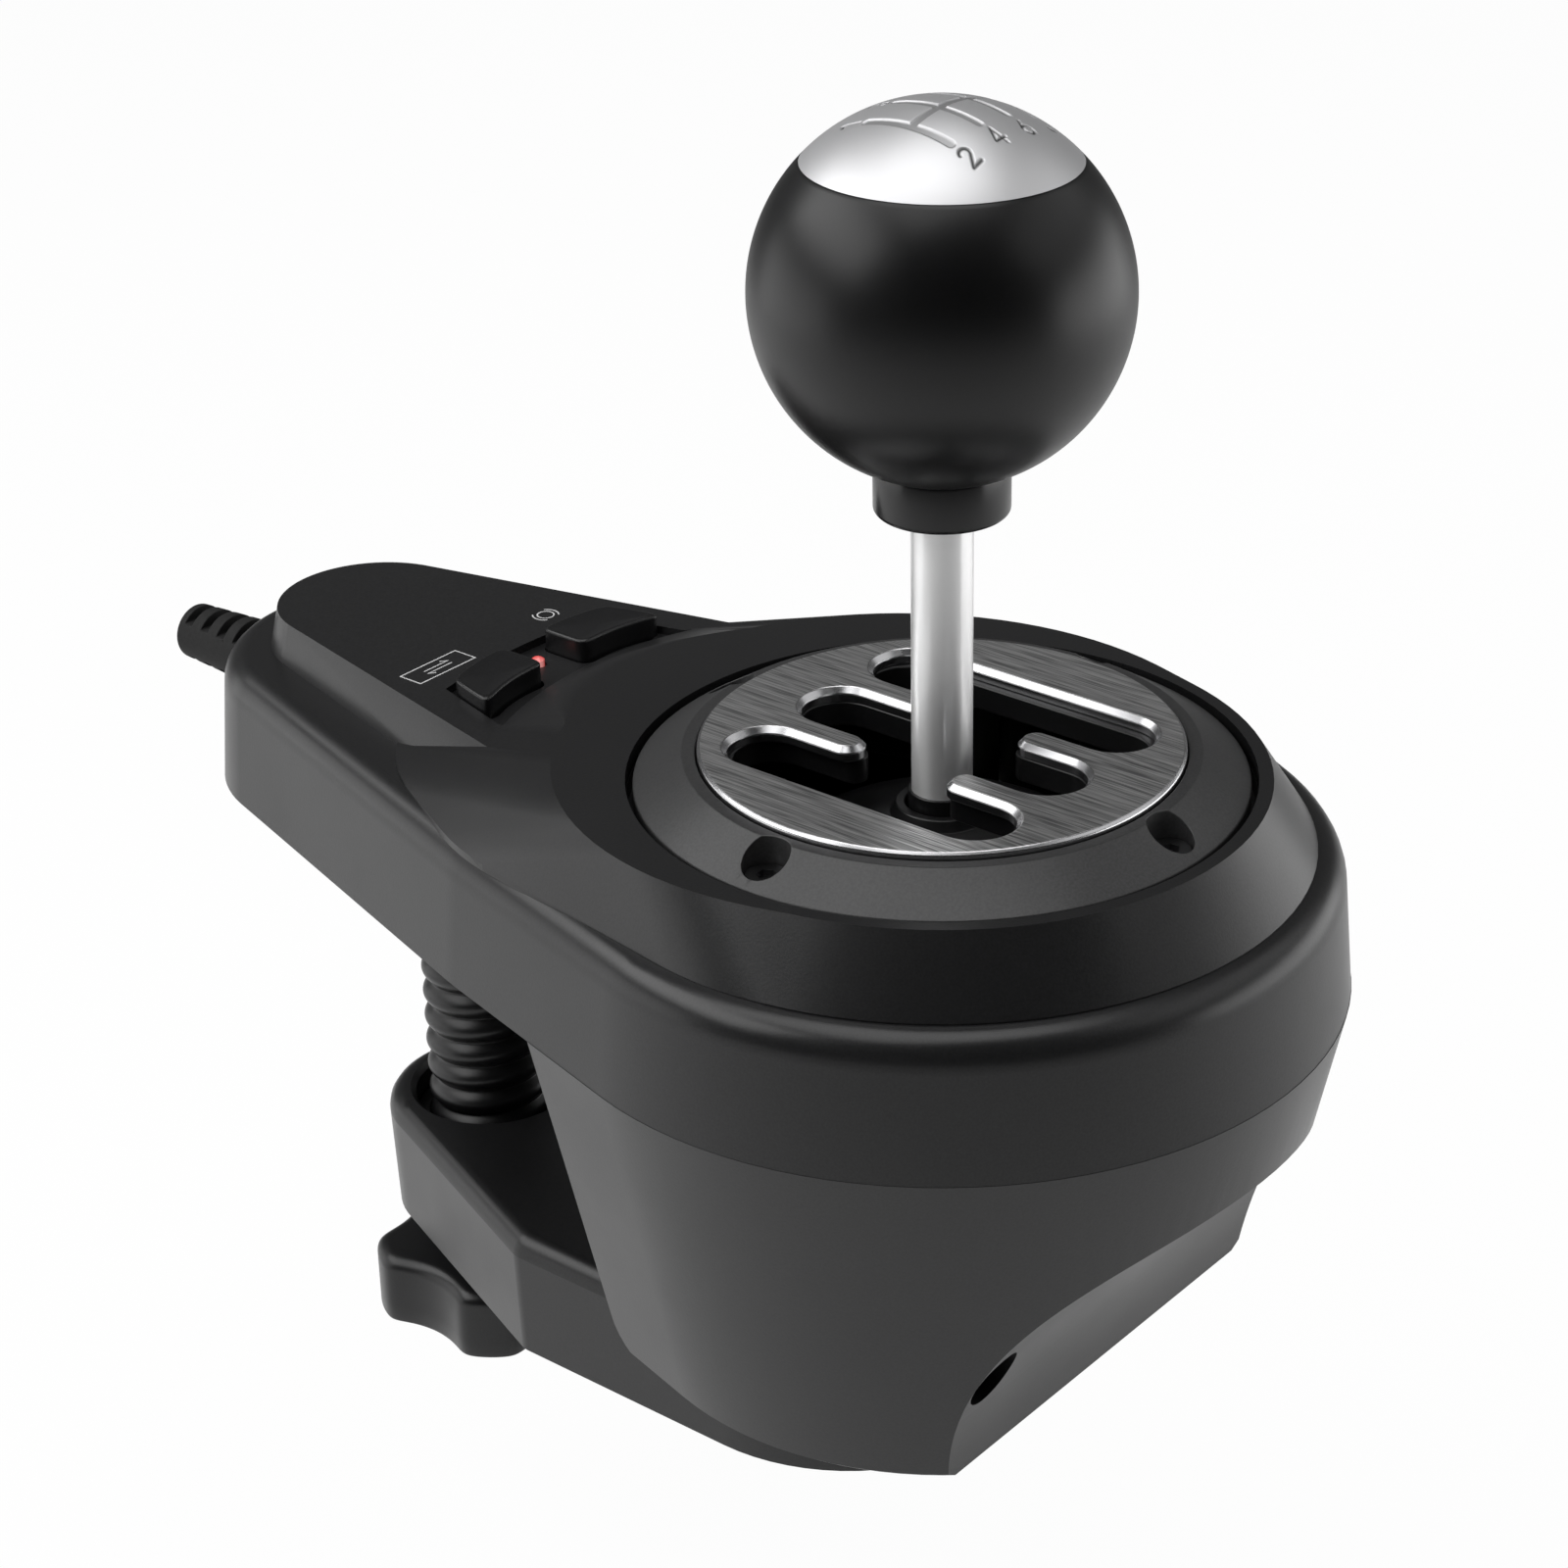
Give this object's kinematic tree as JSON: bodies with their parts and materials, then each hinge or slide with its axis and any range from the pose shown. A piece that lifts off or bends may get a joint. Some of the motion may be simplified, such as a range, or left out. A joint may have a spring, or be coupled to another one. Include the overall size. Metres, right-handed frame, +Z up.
{
  "type": "sim racing gear shifter",
  "caption": "H-gate gear shifter for driving simulators: ball-knob lever on a two-axis gimbal, push-down reverse, two buttons and a screw clamp for a table edge.",
  "frame": {"origin": "where the clamp screw's axis meets the underside of the upper jaw pad, the face that rests on a table", "axes": "+Z up along the clamp screw, +Y from the gear lever towards the cable end of the tail, +X to the driver's right"},
  "size_m": [0.136, 0.2476, 0.2568],
  "materials": {
    "casing": "fine-grained satin black moulding",
    "casing_dark": "black moulding",
    "ring_plastic": "satin black moulding",
    "gate_metal": "straight-brushed, dark, with bright bevels",
    "rod_metal": "polished",
    "cap_metal": "satin blasted",
    "knob_plastic": "soft satin black",
    "rubber": "matt",
    "screw_metal": "black oxide",
    "spring_metal": "drawn wire",
    "gimbal_metal": "die cast",
    "dish_plastic": "acetal",
    "board": "solder mask",
    "brass": "turned",
    "lens_red": "clear red, lit",
    "magnet": "nickel plated"
  },
  "bodies": {
    "root": {"upper_shell": "casing", "lower_shell": "casing", "tail_cover": "casing_dark", "clamp_arm": "casing", "upper_jaw_pad": "rubber", "gate_ring": "ring_plastic", "gate_plate": "gate_metal", "gate_guide": "casing_dark", "ring_screws": "screw_metal", "shell_screws": "screw_metal", "arm_screws": "screw_metal", "front_screws": "screw_metal", "cover_screws": "screw_metal", "board_screws": "screw_metal", "rig_inserts": "brass", "clamp_nut": "casing_dark", "gimbal_cradle": "gimbal_metal", "cradle_screws": "screw_metal", "detent_dish": "dish_plastic", "sensor_board": "board", "main_board": "board", "key_switches": "casing_dark", "led_lens": "lens_red", "strain_relief": "rubber", "centering_spring": "spring_metal"},
    "select_yoke": {"gimbal_yoke": "gimbal_metal", "select_pins": "spring_metal", "shift_pins": "spring_metal"},
    "shift_block": {"pivot_block": "gimbal_metal", "dust_dome": "casing_dark", "lever_magnet": "magnet", "return_spring": "spring_metal", "plunger_spring": "spring_metal"},
    "plunger": {"detent_plunger": "magnet"},
    "lever": {"lever_rod": "rod_metal", "rod_sleeve": "casing_dark", "rod_clip": "spring_metal", "knob_ball": "knob_plastic", "knob_cap": "cap_metal", "knob_collar": "ring_plastic"},
    "range_key": {"range_button": "casing_dark"},
    "park_key": {"park_button": "casing_dark"},
    "clamp_pad": {"swivel_pad": "casing_dark", "pad_facing": "rubber"},
    "clamp_spindle": {"clamp_screw": "casing_dark", "star_knob": "casing_dark"}
  },
  "joints": [
    {"name": "select_tilt", "type": "hinge", "parent": "root", "child": "select_yoke", "pos_m": [0, -0.1073, -0.017], "axis": [0, 1, 0], "range_deg": [-17.6, 17.6], "stiffness_Nm_per_rad": 1.2},
    {"name": "shift_tilt", "type": "hinge", "parent": "select_yoke", "child": "shift_block", "pos_m": [0, -0.1073, -0.017], "axis": [1, 0, 0], "range_deg": [-17.9, 17.9]},
    {"name": "reverse_push", "type": "slide", "parent": "shift_block", "child": "lever", "axis": [0, 0, -1], "range_m": [0, 0.006], "stiffness_N_per_m": 1200, "springref_m": -0.008, "deforming": ["return_spring"]},
    {"name": "detent_slide", "type": "slide", "parent": "shift_block", "child": "plunger", "axis": [0, 0, 1], "range_m": [0, 0.001], "stiffness_N_per_m": 800, "springref_m": -0.002, "deforming": ["plunger_spring"]},
    {"name": "range_press", "type": "slide", "parent": "root", "child": "range_key", "axis": [0, 0, -1], "range_m": [0, 0.0012], "stiffness_N_per_m": 500, "springref_m": -0.001},
    {"name": "park_press", "type": "slide", "parent": "root", "child": "park_key", "axis": [0, 0, -1], "range_m": [0, 0.0012], "stiffness_N_per_m": 500, "springref_m": -0.001},
    {"name": "clamp_slide", "type": "slide", "parent": "root", "child": "clamp_pad", "axis": [0, 0, 1], "range_m": [-0.042, 0.0085]},
    {"name": "screw_turn", "type": "hinge", "parent": "clamp_pad", "child": "clamp_spindle", "pos_m": [0, 0, -0.017], "axis": [0, 0, 1], "range_deg": [-2950, 700]}
  ],
  "couplings": [
    {"joint": "screw_turn", "follows": "clamp_slide", "rad_per_m": 1208.3}
  ]
}
